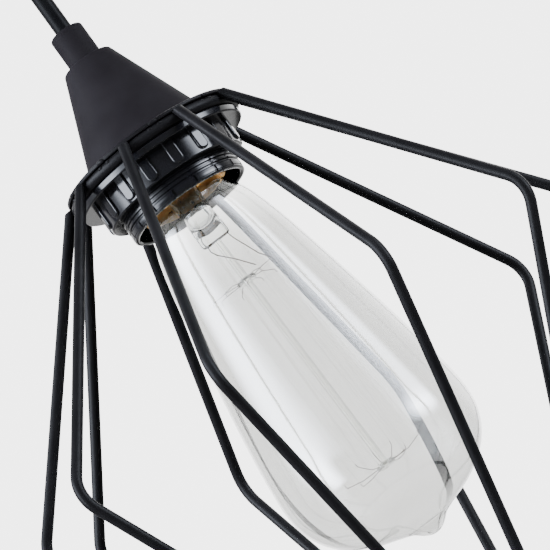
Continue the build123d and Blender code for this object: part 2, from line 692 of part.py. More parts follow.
# Stem: a flared tube sealed inside the neck, pressed flat at its end.
with BuildPart() as bulb_stem:
    with BuildSketch(lean):
        with BuildLine():
            Line(bp(10.9, 9.0), bp(10.9, 10.2))
            Spline(bp(10.9, 10.2), bp(7.6, 12.6), bp(5.2, 16.5), bp(4.6, 21.0))
            Line(bp(4.6, 21.0), bp(4.6, 26.6))
            Line(bp(4.6, 26.6), bp(0, 26.6))
            Line(bp(0, 26.6), bp(0, 24.0))
            Line(bp(0, 24.0), bp(3.5, 24.0))
            Line(bp(3.5, 24.0), bp(3.5, 21.0))
            Spline(bp(3.5, 21.0), bp(4.2, 16.0), bp(6.8, 11.6), bp(10.0, 9.0))
            Line(bp(10.0, 9.0), bp(10.9, 9.0))
        make_face()
    revolve(axis=LEAN_AXIS)
    n_dir = (sin(ts), 0, -cos(ts))
    x_dir = (cos(ts), 0, sin(ts))
    with BuildSketch(Plane(origin=lean_point(0, 0, 24.6), x_dir=x_dir, z_dir=n_dir)):
        Circle(4.2)
    with BuildSketch(Plane(origin=lean_point(0, 0, 30.5), x_dir=x_dir, z_dir=n_dir)):
        Ellipse(4.6, 2.4)
    with BuildSketch(Plane(origin=lean_point(0, 0, 34.2), x_dir=x_dir, z_dir=n_dir)):
        Ellipse(4.5, 1.7)
    loft()
bulb_stem.part.label = "bulb_stem"
export_step(bulb_stem.part, "parts/bulb_stem.step")


def bent_wire(points, r, bend):
    """A round wire of radius r along points, with its corners rounded."""
    with BuildPart(mode=Mode.PRIVATE) as wire:
        with BuildLine() as line:
            if len(points) > 2:
                FilletPolyline(*points, radius=bend)
            else:
                Line(*points)
        with BuildSketch(Plane(origin=line.line @ 0, z_dir=line.line % 0)):
            Circle(r)
        sweep()
    return wire.part


def flat_x(v, drop):
    """Sideways place in the bulb's own axes of a point v mm right of the lamp axis."""
    return v - (drop - BULB_PIVOT) * sin(ts)


HUB_UP, HUB_LOW = 49.2, 117.8
with BuildPart() as lead_wires:
    add(bent_wire([lean_point(-3.3, -0.4, 34.3), lean_point(-3.5, -0.5, 36.0), lean_point(-2.6, -0.9, 38.0),
                   lean_point(1.2, -1.8, 42.5), lean_point(4.9, -2.1, 47.6)], 0.16, 0.8))
    add(bent_wire([lean_point(3.9, -0.2, 34.3), lean_point(4.4, -0.3, 36.6), lean_point(6.1, -0.8, 41.0),
                   lean_point(7.6, -1.2, 45.0), lean_point(9.9, -1.8, 48.6)], 0.16, 0.8))
lead_wires.part.label = "lead_wires"
export_step(lead_wires.part, "parts/lead_wires.step")

with BuildPart() as support_rod:
    with BuildSketch(Plane(origin=lean_point(0, 0, 34.25), x_dir=x_dir, z_dir=n_dir)):
        Circle(1.15)
    extrude(amount=HUB_LOW + 0.4 - 34.25)
support_rod.part.label = "support_rod"
export_step(support_rod.part, "parts/support_rod.step")

with BuildPart() as upper_hub:
    with BuildSketch(Plane(origin=lean_point(0, 0, HUB_UP - 0.75), x_dir=x_dir, z_dir=n_dir)):
        Circle(3.1)
        Circle(1.18, mode=Mode.SUBTRACT)
    extrude(amount=1.5)
    fillet(upper_hub.edges().filter_by(GeomType.CIRCLE).filter_by(lambda e: abs(e.radius - 3.1) < 0.01), 0.6)
upper_hub.part.label = "upper_hub"
export_step(upper_hub.part, "parts/upper_hub.step")

with BuildPart() as lower_hub:
    with BuildSketch(Plane(origin=lean_point(0, 0, HUB_LOW - 0.75), x_dir=x_dir, z_dir=n_dir)):
        Circle(3.0)
        Circle(1.18, mode=Mode.SUBTRACT)
    extrude(amount=1.5)
    fillet(lower_hub.edges().filter_by(GeomType.CIRCLE).filter_by(lambda e: abs(e.radius - 3.0) < 0.01), 0.6)
lower_hub.part.label = "lower_hub"
export_step(lower_hub.part, "parts/lower_hub.step")

# Support wires stand out of each hub like spokes and hook round the filament.
UP_SPOKES = [(-166, 12.6, 0.3), (-128, 12.0, 1.3), (-92, 10.0, 3.4), (-55, 8.8, 0.8), (-14, 9.6, -0.4),
             (22, 9.2, 1.6), (68, 10.5, 0.0), (112, 11.0, 1.0), (150, 11.5, -0.6)]
LOW_SPOKES = [(-172, 13.4, -0.8), (-132, 10.5, -3.0), (-97, 9.2, -2.6), (-60, 9.4, -2.4), (-20, 8.0, 0.2),
              (10, 13.2, -1.8), (55, 11.5, -1.0), (100, 10.6, -2.0), (140, 12.2, 0.0)]
with BuildPart() as upper_supports:
    for az, reach, fall in UP_SPOKES:
        c, s = cos(radians(az)), sin(radians(az))
        add(bent_wire([lean_point(3.15 * c, 3.15 * s, HUB_UP),
                       lean_point(0.62 * reach * c, 0.62 * reach * s, HUB_UP + 0.25 * fall - 0.3),
                       lean_point(reach * c, reach * s, HUB_UP + fall),
                       lean_point((reach + 0.1) * c, (reach + 0.1) * s, HUB_UP + fall + 1.2)], 0.09, 0.5))
upper_supports.part.label = "upper_supports"
export_step(upper_supports.part, "parts/upper_supports.step")

with BuildPart() as lower_supports:
    for az, reach, fall in LOW_SPOKES:
        c, s = cos(radians(az)), sin(radians(az))
        add(bent_wire([lean_point(3.05 * c, 3.05 * s, HUB_LOW),
                       lean_point(0.62 * reach * c, 0.62 * reach * s, HUB_LOW + 0.25 * fall + 0.3),
                       lean_point(reach * c, reach * s, HUB_LOW + fall),
                       lean_point((reach + 0.1) * c, (reach + 0.1) * s, HUB_LOW + fall - 1.2)], 0.09, 0.5))
lower_supports.part.label = "lower_supports"
export_step(lower_supports.part, "parts/lower_supports.step")

# The filament is one fine wire laced up and down between the two rows of hooks.
with BuildPart() as filament:
    knots = []
    for k in range(9):
        ua, ur, uf = UP_SPOKES[k]
        la, lr, lf = LOW_SPOKES[k]
        up = lean_point((ur + 0.42) * cos(radians(ua)), (ur + 0.42) * sin(radians(ua)), HUB_UP + uf + 0.6)
        low = lean_point((lr + 0.42) * cos(radians(la)), (lr + 0.42) * sin(radians(la)), HUB_LOW + lf - 0.6)
        knots += [up, low] if k % 2 == 0 else [low, up]
    for a, b in zip(knots, knots[1:]):
        v = Vector(*b) - Vector(*a)
        with BuildSketch(Plane(origin=a, z_dir=v.normalized())):
            Circle(0.04)
        extrude(amount=v.length)
    with Locations(*[Location(p) for p in knots]):
        Sphere(0.04)
filament.part.label = "filament"
export_step(filament.part, "parts/filament.step")
print("files", len(os.listdir("parts")))
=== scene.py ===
import bpy
import bmesh
import json
import math
import random
from mathutils import Matrix, Vector


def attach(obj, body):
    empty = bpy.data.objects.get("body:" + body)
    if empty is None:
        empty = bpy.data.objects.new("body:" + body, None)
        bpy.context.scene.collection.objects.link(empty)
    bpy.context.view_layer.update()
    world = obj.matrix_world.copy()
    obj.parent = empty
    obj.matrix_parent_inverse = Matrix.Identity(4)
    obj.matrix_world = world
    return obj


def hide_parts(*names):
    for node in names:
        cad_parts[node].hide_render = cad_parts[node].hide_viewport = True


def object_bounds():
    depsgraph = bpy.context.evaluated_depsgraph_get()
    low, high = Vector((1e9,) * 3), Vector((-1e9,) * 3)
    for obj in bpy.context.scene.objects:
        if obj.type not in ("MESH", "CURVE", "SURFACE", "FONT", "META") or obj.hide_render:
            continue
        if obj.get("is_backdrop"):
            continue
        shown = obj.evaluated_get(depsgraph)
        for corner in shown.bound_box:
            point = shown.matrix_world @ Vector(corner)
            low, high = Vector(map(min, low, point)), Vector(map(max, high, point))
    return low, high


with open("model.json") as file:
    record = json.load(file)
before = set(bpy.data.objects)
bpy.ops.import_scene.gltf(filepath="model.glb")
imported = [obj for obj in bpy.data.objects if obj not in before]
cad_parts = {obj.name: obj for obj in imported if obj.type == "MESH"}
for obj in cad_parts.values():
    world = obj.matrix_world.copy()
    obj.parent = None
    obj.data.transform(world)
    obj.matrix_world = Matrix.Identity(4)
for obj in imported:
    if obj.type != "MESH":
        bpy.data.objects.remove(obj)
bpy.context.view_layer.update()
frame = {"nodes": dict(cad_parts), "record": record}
scene = bpy.context.scene
nodes = frame["nodes"]

# ------------------------------------------------------------------ camera
# From below, looking up at the lamp, with the lamp's axis running from the top left
# of the picture to the bottom right.
camera_data = bpy.data.cameras.new("camera")
camera_data.sensor_fit = "HORIZONTAL"
camera_data.sensor_width = 36.0
camera_data.lens = 338.75
camera_data.clip_start = 0.05
camera_data.clip_end = 60.0
camera = bpy.data.objects.new("camera", camera_data)
scene.collection.objects.link(camera)
right = Vector((0.81045081, 0.12089584, -0.57319603))
up = Vector((0.5858067, -0.16725676, 0.79300422))
back = Vector((0.0, -0.97847298, -0.20637496))
place = Vector((0.008281, -1.487192, -0.482436))
camera.matrix_world = Matrix((
    (right.x, up.x, back.x, place.x),
    (right.y, up.y, back.y, place.y),
    (right.z, up.z, back.z, place.z),
    (0, 0, 0, 1)))
scene.camera = camera


# ------------------------------------------------------------------ the hanging flex
def flex_curve(name, points, radius, body):
    data = bpy.data.curves.new(name, "CURVE")
    data.dimensions = "3D"
    data.resolution_u = 24
    data.bevel_depth = 1.0
    data.bevel_resolution = 8
    data.use_fill_caps = True
    spline = data.splines.new("NURBS")
    spline.points.add(len(points) - 1)
    for p, q in zip(spline.points, points):
        p.co = (q[0], q[1], q[2], 1.0)
        p.radius = radius
    spline.order_u = 3
    spline.use_endpoint_u = True
    made = bpy.data.objects.new(name, data)
    scene.collection.objects.link(made)
    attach(made, body)
    return made


flex = flex_curve("flex", [(0, 0, -0.091), (0, 0, -0.0755), (0, 0, -0.0605), (0, 0, -0.046)], 0.0027, "pendant")
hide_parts("cord")

# ------------------------------------------------------------------ shared numbers
chance = random.Random(11)
MM = 0.001
PLATE_Z = -116.0
TILT = math.radians(1.28)
PIVOT = 18.0


def lean(x, y, drop):
    """A point in the leaning bulb's own axes, in metres."""
    h = PIVOT - drop
    return Vector((MM * (x * math.cos(TILT) - h * math.sin(TILT)), MM * y,
                   MM * (PLATE_Z - PIVOT + x * math.sin(TILT) + h * math.cos(TILT))))


def smooth_line(points, steps):
    """A rounded line through the points, with the tangents of their neighbours."""
    out = []
    for i in range(len(points) - 1):
        a = points[max(i - 1, 0)]
        b, c = points[i], points[i + 1]
        d = points[min(i + 2, len(points) - 1)]
        lb, lc = math.dist(b, c), math.dist(b, c)
        ta = [(c[k] - a[k]) * lb / max(math.dist(a, b) + math.dist(b, c), 1e-9) for k in range(len(b))]
        tc = [(d[k] - b[k]) * lc / max(math.dist(b, c) + math.dist(c, d), 1e-9) for k in range(len(b))]
        for s in range(steps):
            t = s / steps
            h1, h2 = 2 * t ** 3 - 3 * t ** 2 + 1, -2 * t ** 3 + 3 * t ** 2
            h3, h4 = t ** 3 - 2 * t ** 2 + t, t ** 3 - t ** 2
            out.append(tuple(h1 * b[k] + h2 * c[k] + h3 * ta[k] + h4 * tc[k] for k in range(len(b))))
    out.append(tuple(points[-1]))
    return out


def add_mesh(name, verts, faces, body, smooth=True):
    mesh = bpy.data.meshes.new(name)
    mesh.from_pydata([tuple(v) for v in verts], [], faces)
    bm = bmesh.new()
    bm.from_mesh(mesh)
    bmesh.ops.recalc_face_normals(bm, faces=bm.faces)
    bm.to_mesh(mesh)
    bm.free()
    for p in mesh.polygons:
        p.use_smooth = smooth
    made = bpy.data.objects.new(name, mesh)
    scene.collection.objects.link(made)
    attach(made, body)
    return made


def turned(profile, segments, place_point):
    """A closed ring of profile points (radius, drop) turned about the axis; radius 0 makes a pole."""
    verts, faces, rows = [], [], []
    for r, d in profile:
        if r < 1e-6:
            rows.append([len(verts)] * segments)
            verts.append(place_point(0, 0, d))
        else:
            row = []
            for k in range(segments):
                a = 2 * math.pi * k / segments
                row.append(len(verts))
                verts.append(place_point(r * math.cos(a), r * math.sin(a), d))
            rows.append(row)
    n = len(rows)
    for i in range(n):
        a, b = rows[i], rows[(i + 1) % n]
        if a[0] == a[1] and b[0] == b[1]:
            continue
        for k in range(segments):
            j = (k + 1) % segments
            quad = [a[k], a[j], b[j], b[k]]
            quad = [q for m, q in enumerate(quad) if q not in quad[:m]]
            faces.append(quad)
    return verts, faces


# ------------------------------------------------------------------ the bulb's glass
GLASS = [(11.75, 12.0), (11.8, 15.5), (12.25, 18.4), (14.1, 22.0), (16.2, 26.0), (17.75, 30.0),
         (20.35, 40.0), (22.85, 52.0), (25.35, 65.0), (28.05, 80.0), (29.72, 90.0), (30.93, 98.0),
         (31.9, 106.0), (32.35, 113.0), (31.75, 119.0), (29.85, 124.0), (27.1, 128.0),
         (23.9, 131.0), (20.3, 133.4), (16.3, 135.35), (12.0, 136.9)]
TIP = [(12.0, 136.9), (8.8, 138.1), (6.3, 139.2), (4.5, 140.7), (2.9, 141.9), (1.4, 142.5), (0.0, 142.7)]
outer = smooth_line(GLASS + TIP[1:], 4)
inner = []
for i, (r, d) in enumerate(outer):
    a, b = outer[max(i - 1, 0)], outer[min(i + 1, len(outer) - 1)]
    tr, td = b[0] - a[0], b[1] - a[1]
    n = math.hypot(tr, td)
    inner.append((r - 0.8 * td / n, d + 0.8 * tr / n))
inner = [p for p in inner if p[0] > 6.2] + [(4.6, 139.6), (3.3, 140.5), (2.0, 141.3), (0.9, 141.8), (0.0, 141.9)]
profile = [(11.75, 8.0)] + outer + inner[::-1] + [(10.95, 8.0)]
verts, faces = turned(profile, 160, lean)
envelope = add_mesh("bulb_envelope", verts, faces, "bulb")
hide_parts("bulb_glass")


# ------------------------------------------------------------------ the bulb's stem
# A flared glass tube that is pressed flat at its end over the lead wires.
def pressed(rows, segments, place_point):
    """Rows of (half width, half depth, drop, squareness)."""
    verts, faces, rings = [], [], []
    for a, b, d, q in rows:
        if a < 1e-6:
            rings.append([len(verts)] * segments)
            verts.append(place_point(0, 0, d))
            continue
        ring = []
        for k in range(segments):
            t = 2 * math.pi * k / segments
            c, s = math.cos(t), math.sin(t)
            e = 2.0 / q
            ring.append(len(verts))
            verts.append(place_point(a * math.copysign(abs(c) ** e, c), b * math.copysign(abs(s) ** e, s), d))
        rings.append(ring)
    n = len(rings)
    for i in range(n):
        a, b = rings[i], rings[(i + 1) % n]
        if a[0] == a[1] and b[0] == b[1]:
            continue
        for k in range(segments):
            j = (k + 1) % segments
            quad = [a[k], a[j], b[j], b[k]]
            faces.append([q for m, q in enumerate(quad) if q not in quad[:m]])
    return verts, faces


shell = smooth_line([(10.9, 10.9, 9.6, 2.0), (7.6, 7.6, 12.6, 2.0), (5.3, 5.3, 16.5, 2.0), (4.7, 4.7, 20.5, 2.0),
                     (4.62, 4.62, 24.0, 2.0), (4.65, 4.2, 26.4, 2.05), (4.75, 3.2, 28.4, 2.2), (4.85, 2.2, 30.2, 2.6),
                     (4.85, 1.7, 32.0, 3.0), (4.8, 1.55, 33.5, 3.0), (4.6, 1.4, 34.15, 2.8), (3.9, 0.9, 34.45, 2.6)], 4)
hollow = smooth_line([(10.0, 10.0, 9.2, 2.0), (6.6, 6.6, 12.2, 2.0), (4.3, 4.3, 16.5, 2.0), (3.75, 3.75, 20.5, 2.0),
                      (3.7, 3.65, 24.0, 2.0), (3.6, 3.1, 25.8, 2.0), (3.2, 2.1, 27.2, 2.0), (2.2, 1.1, 28.1, 2.0),
                      (1.0, 0.5, 28.45, 2.0)], 4)
rows = shell + [(0.0, 0.0, 34.5, 2.0), (0.0, 0.0, 28.5, 2.0)] + hollow[::-1]
verts, faces = pressed(rows, 72, lean)
stem = add_mesh("glass_stem", verts, faces, "bulb")
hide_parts("bulb_stem")


# ------------------------------------------------------------------ the filament
# One hair-thin wire laced up and down between the hooks of the two hubs.
UP_SPOKES = [(-166, 12.6, 0.3), (-128, 12.0, 1.3), (-92, 10.0, 3.4), (-55, 8.8, 0.8), (-14, 9.6, -0.4),
             (22, 9.2, 1.6), (68, 10.5, 0.0), (112, 11.0, 1.0), (150, 11.5, -0.6)]
LOW_SPOKES = [(-172, 13.4, -0.8), (-132, 10.5, -3.0), (-97, 9.2, -2.6), (-60, 9.4, -2.4), (-20, 8.0, 0.2),
              (10, 13.2, -1.8), (55, 11.5, -1.0), (100, 10.6, -2.0), (140, 12.2, 0.0)]


def tube(name, line, radius, sides, body):
    """A round wire along a line of points in metres."""
    verts, faces, rings = [], [], []
    ref = Vector((0.31, 0.87, 0.11)).normalized()
    for i, p in enumerate(line):
        a = Vector(line[max(i - 1, 0)])
        b = Vector(line[min(i + 1, len(line) - 1)])
        t = (b - a).normalized()
        x = (ref - t * ref.dot(t)).normalized()
        y = t.cross(x)
        ref = x
        ring = []
        for k in range(sides):
            w = 2 * math.pi * k / sides
            ring.append(len(verts))
            verts.append(Vector(p) + (x * math.cos(w) + y * math.sin(w)) * radius)
        rings.append(ring)
    for a, b in zip(rings, rings[1:]):
        for k in range(sides):
            j = (k + 1) % sides
            faces.append([a[k], a[j], b[j], b[k]])
    faces.append(rings[0][::-1])
    faces.append(rings[-1])
    return add_mesh(name, verts, faces, body)


laced = []
for k in range(9):
    ua, ur, uf = UP_SPOKES[k]
    la, lr, lf = LOW_SPOKES[k]
    high = lean((ur + 0.3) * math.cos(math.radians(ua)), (ur + 0.3) * math.sin(math.radians(ua)), 49.2 + uf + 0.7)
    low_knot = lean((lr + 0.3) * math.cos(math.radians(la)), (lr + 0.3) * math.sin(math.radians(la)), 117.8 + lf - 0.7)
    laced += [high, low_knot] if k % 2 == 0 else [low_knot, high]
strand = [laced[0]]
for a, b in zip(laced, laced[1:]):
    long_run = (b - a).length > 0.03
    middle = (a + b) / 2
    out = Vector((middle.x, middle.y, 0))
    out = out.normalized() if out.length > 1e-6 else Vector((1, 0, 0))
    bow = out * (chance.uniform(0.1, 0.7) * MM if long_run else 0.15 * MM)
    steps = 14 if long_run else 4
    for i in range(1, steps + 1):
        w = i / steps
        strand.append(a.lerp(b, w) + bow * math.sin(math.pi * w))
hair = tube("filament_wire", strand, 0.018 * MM, 6, "bulb")
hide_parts("filament")


# ------------------------------------------------------------------ weld beads on the cage
WIRE_AT = [13.0, 50.4, 85.7, 117.2, 156.1, 192.3, 228.6, 262.9, 300.8, 337.4]
WELD_OFF = [-2.5, -1.5, 2.8, -1.7, -3.0, 0.0, -2.5, -0.1, -3.7, -4.7]


def bead(at, size, normal, name_list):
    """One lumpy drop of weld metal, flattened along normal."""
    bm = bmesh.new()
    bmesh.ops.create_icosphere(bm, subdivisions=3, radius=1.0)
    lumps = [(Vector((chance.uniform(-1, 1), chance.uniform(-1, 1), chance.uniform(-1, 1))).normalized(),
              chance.uniform(-0.16, 0.2)) for _ in range(5)]
    turn = normal.to_track_quat("Z", "Y").to_matrix()
    for v in bm.verts:
        d = v.co.normalized()
        k = 1.0
        for direction, amount in lumps:
            k += amount * max(0.0, d.dot(direction)) ** 3
        p = Vector((d.x * size[0], d.y * size[1], d.z * size[2])) * k
        v.co = turn @ p + at
    name_list.append(bm)


beads = []
for vertex, off in zip(WIRE_AT, WELD_OFF):
    a = math.radians(vertex + off - 90)
    out = Vector((math.cos(a), math.sin(a), 0))
    side = Vector((-math.sin(a), math.cos(a), 0))
    for way in (-1, 1):
        at = out * (28.6 * MM) + side * (way * 1.75 * MM) + Vector((0, 0, (PLATE_Z - 2.1) * MM))
        bead(at, (1.15 * MM, 0.7 * MM, 1.0 * MM), (out + side * way * 0.5).normalized(), beads)
    at = out * (29.6 * MM) + Vector((0, 0, (PLATE_Z - 0.75) * MM))
    bead(at, (1.5 * MM, 0.65 * MM, 0.6 * MM), out, beads)
mesh = bpy.data.meshes.new("weld_beads")
whole = bmesh.new()
for b in beads:
    part = bpy.data.meshes.new("bead")
    b.to_mesh(part)
    b.free()
    whole.from_mesh(part)
    bpy.data.meshes.remove(part)
whole.to_mesh(mesh)
whole.free()
for p in mesh.polygons:
    p.use_smooth = True
welds = bpy.data.objects.new("weld_beads", mesh)
scene.collection.objects.link(welds)
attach(welds, "cage")


# ------------------------------------------------------------------ materials
def new_material(name):
    m = bpy.data.materials.new(name)
    m.use_nodes = True
    t = m.node_tree
    t.nodes.clear()
    out = t.nodes.new("ShaderNodeOutputMaterial")
    shader = t.nodes.new("ShaderNodeBsdfPrincipled")
    t.links.new(shader.outputs["BSDF"], out.inputs["Surface"])
    return m, t, shader


def coordinates(t):
    c = t.nodes.new("ShaderNodeTexCoord")
    return c.outputs["Object"]


def noise(t, scale, detail=2.0, rough=0.5, at=None):
    n = t.nodes.new("ShaderNodeTexNoise")
    n.inputs["Scale"].default_value = scale
    n.inputs["Detail"].default_value = detail
    n.inputs["Roughness"].default_value = rough
    t.links.new(at if at is not None else coordinates(t), n.inputs["Vector"])
    return n.outputs["Fac"]


def spread(t, value, low, high, from_low=0.3, from_high=0.7):
    r = t.nodes.new("ShaderNodeMapRange")
    r.inputs["From Min"].default_value = from_low
    r.inputs["From Max"].default_value = from_high
    r.inputs["To Min"].default_value = low
    r.inputs["To Max"].default_value = high
    t.links.new(value, r.inputs["Value"])
    return r.outputs["Result"]


def colours(t, value, low, high, from_low=0.3, from_high=0.7):
    r = t.nodes.new("ShaderNodeValToRGB")
    r.color_ramp.elements[0].position = from_low
    r.color_ramp.elements[0].color = (*low, 1)
    r.color_ramp.elements[1].position = from_high
    r.color_ramp.elements[1].color = (*high, 1)
    t.links.new(value, r.inputs["Fac"])
    return r.outputs["Color"]


def bump(t, height, strength, distance, before=None):
    b = t.nodes.new("ShaderNodeBump")
    b.inputs["Strength"].default_value = strength
    b.inputs["Distance"].default_value = distance
    t.links.new(height, b.inputs["Height"])
    if before is not None:
        t.links.new(before, b.inputs["Normal"])
    return b.outputs["Normal"]


def coated(name, dark, light, rough_low, rough_high, grain, grain_height, wave=None, spec=0.5,
           metallic=0.0, blotch=90.0, coat=0.0, coat_rough=0.1):
    """A painted, moulded or plated surface: slight colour and gloss variation, a fine grain and, if wave is given, a slow waviness."""
    m, t, s = new_material(name)
    blot = noise(t, blotch, 3.0)
    t.links.new(colours(t, blot, dark, light), s.inputs["Base Color"])
    fine = noise(t, grain, 2.0, 0.6)
    t.links.new(spread(t, noise(t, blotch * 3.1, 4.0), rough_low, rough_high), s.inputs["Roughness"])
    normal = bump(t, fine, 0.35, grain_height)
    if wave:
        normal = bump(t, noise(t, wave[0], 1.0), 0.5, wave[1], normal)
    t.links.new(normal, s.inputs["Normal"])
    s.inputs["Specular IOR Level"].default_value = spec
    s.inputs["Metallic"].default_value = metallic
    s.inputs["Coat Weight"].default_value = coat
    s.inputs["Coat Roughness"].default_value = coat_rough
    return m


powder = coated("black_powder_coat", (0.0024, 0.0023, 0.0025), (0.0042, 0.0040, 0.0043), 0.36, 0.44, 2600.0, 0.0000005,
                wave=(420.0, 0.000001), spec=0.025)
matte = coated("black_cap_paint", (0.0042, 0.0036, 0.0041), (0.0060, 0.0053, 0.0059), 0.56, 0.64, 3200.0, 0.00001,
               wave=(260.0, 0.000002), spec=0.008)
phenolic = coated("black_phenolic", (0.0022, 0.0022, 0.0027), (0.0036, 0.0036, 0.0043), 0.12, 0.20, 1500.0, 0.000004,
                  wave=(150.0, 0.00004), spec=0.14)
nylon = coated("black_nylon", (0.006, 0.0056, 0.0062), (0.009, 0.0086, 0.0092), 0.42, 0.50, 3000.0, 0.00002, spec=0.4)
flex_skin = coated("black_flex", (0.0018, 0.0018, 0.0020), (0.0034, 0.0034, 0.0036), 0.30, 0.38, 1800.0, 0.00001,
                   wave=(300.0, 0.000001), spec=0.012)
zinc = coated("zinc_plate", (0.50, 0.51, 0.52), (0.62, 0.63, 0.65), 0.24, 0.36, 900.0, 0.00001, metallic=1.0)
black_steel = coated("black_screw", (0.010, 0.010, 0.011), (0.018, 0.018, 0.020), 0.28, 0.38, 1400.0, 0.00001)
brass = coated("brass", (0.72, 0.40, 0.12), (0.88, 0.56, 0.22), 0.16, 0.30, 1200.0, 0.00001, wave=(350.0, 0.00003), metallic=1.0)
cap_brass = coated("brass_cap", (0.86, 0.42, 0.12), (1.0, 0.66, 0.28), 0.24, 0.46, 1200.0, 0.00002, wave=(420.0, 0.0003), metallic=0.95, blotch=160.0)
ceramic = coated("steatite", (0.78, 0.76, 0.70), (0.86, 0.84, 0.79), 0.40, 0.55, 1500.0, 0.00002)
block_plastic = coated("terminal_plastic", (0.70, 0.69, 0.65), (0.78, 0.77, 0.73), 0.32, 0.42, 1500.0, 0.00001)
brown = coated("brown_insulation", (0.10, 0.045, 0.022), (0.15, 0.065, 0.032), 0.34, 0.44, 1500.0, 0.00001)
blue = coated("blue_insulation", (0.02, 0.08, 0.30), (0.03, 0.11, 0.38), 0.34, 0.44, 1500.0, 0.00001)
vitrite = coated("black_vitrite", (0.004, 0.004, 0.006), (0.010, 0.010, 0.013), 0.10, 0.16, 900.0, 0.00001)
solder = coated("solder", (0.48, 0.48, 0.47), (0.66, 0.66, 0.65), 0.25, 0.42, 700.0, 0.00003, metallic=1.0)
nickel = coated("nickel_wire", (0.055, 0.030, 0.024), (0.095, 0.055, 0.045), 0.34, 0.46, 1500.0, 0.00001, spec=0.3, metallic=0.5)
tungsten = coated("tungsten", (0.16, 0.155, 0.15), (0.26, 0.25, 0.24), 0.35, 0.45, 2000.0, 0.00001, metallic=1.0)


def clear(name, tint_low, tint_high, ripple, outline_shade, neck=None):
    """Clear glass; neck is the heights between which its slight grey tint fades out towards the top."""
    m, t, s = new_material(name)
    tint = colours(t, noise(t, 30.0, 2.0), tint_low, tint_high)
    if neck:
        xyz = t.nodes.new("ShaderNodeSeparateXYZ")
        t.links.new(coordinates(t), xyz.inputs[0])
        fade = spread(t, xyz.outputs[2], 0.0, 1.0, neck[0], neck[1])
        mix = t.nodes.new("ShaderNodeMix")
        mix.data_type = "RGBA"
        t.links.new(fade, mix.inputs[0])
        t.links.new(tint, mix.inputs[6])
        mix.inputs[7].default_value = (0.96, 0.965, 0.955, 1)
        tint = mix.outputs[2]
    # Painted shade: the tint darkens towards the outline, where the wall is seen lengthwise.
    weight = t.nodes.new("ShaderNodeLayerWeight")
    weight.inputs["Blend"].default_value = 0.5
    edge = t.nodes.new("ShaderNodeMix")
    edge.data_type = "RGBA"
    t.links.new(spread(t, weight.outputs["Facing"], 0.0, 1.0, outline_shade[0], outline_shade[1]), edge.inputs[0])
    t.links.new(tint, edge.inputs[6])
    edge.inputs[7].default_value = (0.22, 0.225, 0.23, 1)
    tint = edge.outputs[2]
    t.links.new(tint, s.inputs["Base Color"])
    t.links.new(spread(t, noise(t, 60.0, 3.0), 0.0, 0.008), s.inputs["Roughness"])
    normal = bump(t, noise(t, ripple[0], 1.5), 0.3, ripple[1])
    t.links.new(normal, s.inputs["Normal"])
    s.inputs["Transmission Weight"].default_value = 1.0
    s.inputs["IOR"].default_value = 1.5
    return m


glass = clear("clear_glass", (0.62, 0.622, 0.612), (0.65, 0.652, 0.642), (45.0, 0.000012), (0.86, 0.985),
              neck=(-0.156, -0.138))
stem_glass = clear("clear_glass_stem", (0.76, 0.77, 0.76), (0.88, 0.89, 0.88), (420.0, 0.0003), (0.66, 0.93))
stem_glass.node_tree.nodes["Principled BSDF"].inputs["Specular IOR Level"].default_value = 0.2
rod_glass = clear("clear_glass_rod", (0.93, 0.94, 0.91), (0.97, 0.975, 0.95), (120.0, 0.00001), (0.80, 0.97))

BY_SLOT = {
    "black_powder_coat": powder, "black_phenolic": phenolic, "black_nylon": nylon, "black_flex": flex_skin,
    "black_screw": black_steel, "zinc_plate": zinc, "brass": brass, "steatite": ceramic,
    "terminal_plastic": block_plastic, "brown_insulation": brown, "blue_insulation": blue, "clear_glass": glass,
    "black_vitrite": vitrite, "solder": solder, "nickel_wire": nickel, "tungsten": tungsten}
slot_of = {s["node"]: s["material_slot"] for s in frame["record"]["subparts"]}
special = {"bulb_cap": cap_brass, "cone_cap": matte, "cord_grip": matte, "bulb_stem": stem_glass, "support_rod": rod_glass,
           "upper_hub": rod_glass, "lower_hub": rod_glass}
for name, obj in nodes.items():
    m = special.get(name) or BY_SLOT[slot_of[name]]
    obj.data.materials.clear()
    obj.data.materials.append(m)
flex.data.materials.append(flex_skin)
envelope.data.materials.append(glass)
stem.data.materials.append(stem_glass)
welds.data.materials.append(powder)
hair.data.materials.append(tungsten)

# ------------------------------------------------------------------ floor and world
BRIGHT = 4.476
floor_mesh = bpy.data.meshes.new("floor")
size, drop = 30.0, -4.6
floor_mesh.from_pydata([(-size, -size, drop), (size, -size, drop), (size, size, drop), (-size, size, drop)], [], [(0, 1, 2, 3)])
floor = bpy.data.objects.new("floor", floor_mesh)
scene.collection.objects.link(floor)
floor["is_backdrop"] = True
floor.visible_diffuse = False
floor.visible_glossy = False
floor.visible_transmission = False
m, t, s = new_material("floor_paint")
t.links.new(colours(t, noise(t, 3.0, 3.0), (0.010, 0.010, 0.010), (0.014, 0.014, 0.014)), s.inputs["Base Color"])
s.inputs["Roughness"].default_value = 0.9
s.inputs["Specular IOR Level"].default_value = 0.0
s.inputs["Emission Color"].default_value = (1, 1, 1, 1)
s.inputs["Emission Strength"].default_value = 4.42
floor_mesh.materials.append(m)

world = bpy.data.worlds.new("studio")
scene.world = world
world.use_nodes = True
wt = world.node_tree
wt.nodes.clear()


def math_node(kind, a, b=None, c=None):
    n = wt.nodes.new("ShaderNodeMath")
    n.operation = kind
    for k, v in enumerate((a, b, c)):
        if v is None:
            continue
        if isinstance(v, (int, float)):
            n.inputs[k].default_value = v
        else:
            wt.links.new(v, n.inputs[k])
    return n.outputs[0]


